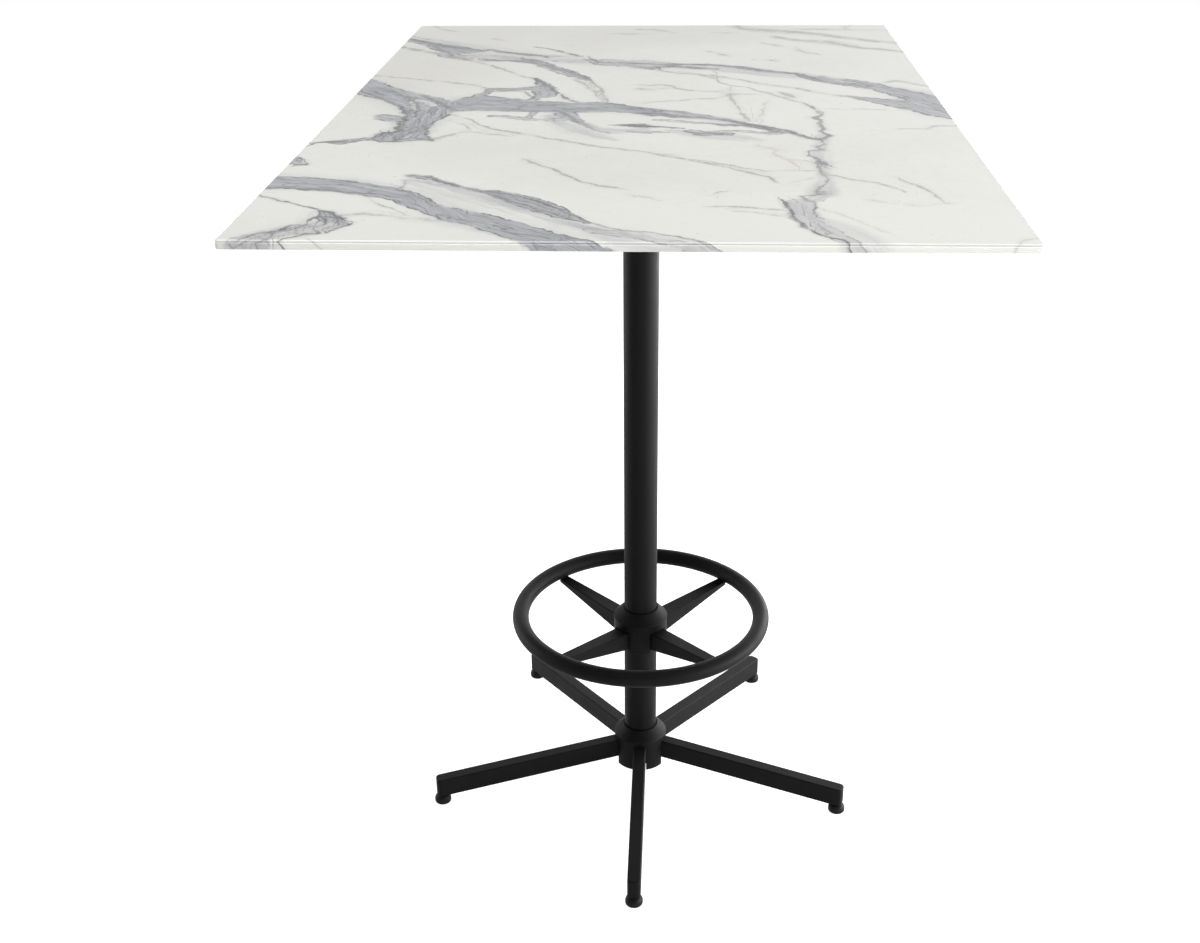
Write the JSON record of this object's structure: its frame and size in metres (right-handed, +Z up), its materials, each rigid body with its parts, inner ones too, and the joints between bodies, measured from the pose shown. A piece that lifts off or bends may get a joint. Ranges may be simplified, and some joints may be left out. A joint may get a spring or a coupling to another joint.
{
  "type": "pub table",
  "caption": "Bar-height pub table: thin rectangular marble-look slab on a round black column, with a spoked foot ring and a low base of sloping legs on levelling glides.",
  "frame": {"origin": "on the floor under the column's axis", "axes": "+Z up along the column, +Y along the slab's long side away from leg 1, +X along its short side"},
  "size_m": [0.762, 1.2192, 1.035],
  "materials": {
    "slab": "honed",
    "powder_coat": "semi-matt powder coat",
    "zinc_steel": "zinc plated",
    "insert_brass": "turned",
    "glide_plastic": "moulded"
  },
  "bodies": {
    "table": {"tabletop": "slab", "column_tube": "powder_coat", "spider_hub": "powder_coat", "foot_ring": "powder_coat", "foot_ring_hub": "powder_coat", "foot_ring_collar": "powder_coat", "base_hub": "powder_coat", "base_collar": "powder_coat", "base_clamp_plate": "powder_coat", "spider_arm_1": "powder_coat", "spider_arm_2": "powder_coat", "spider_arm_3": "powder_coat", "spider_arm_4": "powder_coat", "foot_ring_spoke_1": "powder_coat", "foot_ring_spoke_2": "powder_coat", "foot_ring_spoke_3": "powder_coat", "foot_ring_spoke_4": "powder_coat", "leg_1": "powder_coat", "leg_2": "powder_coat", "leg_3": "powder_coat", "leg_4": "powder_coat", "leg_5": "powder_coat", "tie_rod": "zinc_steel", "tie_rod_top_washer": "zinc_steel", "tie_rod_top_nut": "zinc_steel", "tie_rod_bottom_washer": "zinc_steel", "tie_rod_bottom_nut": "zinc_steel", "spider_screws": "zinc_steel", "leg_screws": "zinc_steel", "foot_ring_set_screws": "zinc_steel", "top_inserts": "insert_brass", "glide_inserts": "insert_brass"},
    "glide_1": {"glide_stud_1": "zinc_steel", "glide_pad_1": "glide_plastic"},
    "glide_2": {"glide_stud_2": "zinc_steel", "glide_pad_2": "glide_plastic"},
    "glide_3": {"glide_stud_3": "zinc_steel", "glide_pad_3": "glide_plastic"},
    "glide_4": {"glide_stud_4": "zinc_steel", "glide_pad_4": "glide_plastic"},
    "glide_5": {"glide_stud_5": "zinc_steel", "glide_pad_5": "glide_plastic"}
  },
  "joints": [
    {"name": "glide_1_screw", "type": "slide", "parent": "table", "child": "glide_1", "axis": [0, 0, -1], "range_m": [0, 0.01]},
    {"name": "glide_2_screw", "type": "slide", "parent": "table", "child": "glide_2", "axis": [0, 0, -1], "range_m": [0, 0.01]},
    {"name": "glide_3_screw", "type": "slide", "parent": "table", "child": "glide_3", "axis": [0, 0, -1], "range_m": [0, 0.01]},
    {"name": "glide_4_screw", "type": "slide", "parent": "table", "child": "glide_4", "axis": [0, 0, -1], "range_m": [0, 0.01]},
    {"name": "glide_5_screw", "type": "slide", "parent": "table", "child": "glide_5", "axis": [0, 0, -1], "range_m": [0, 0.01]}
  ]
}
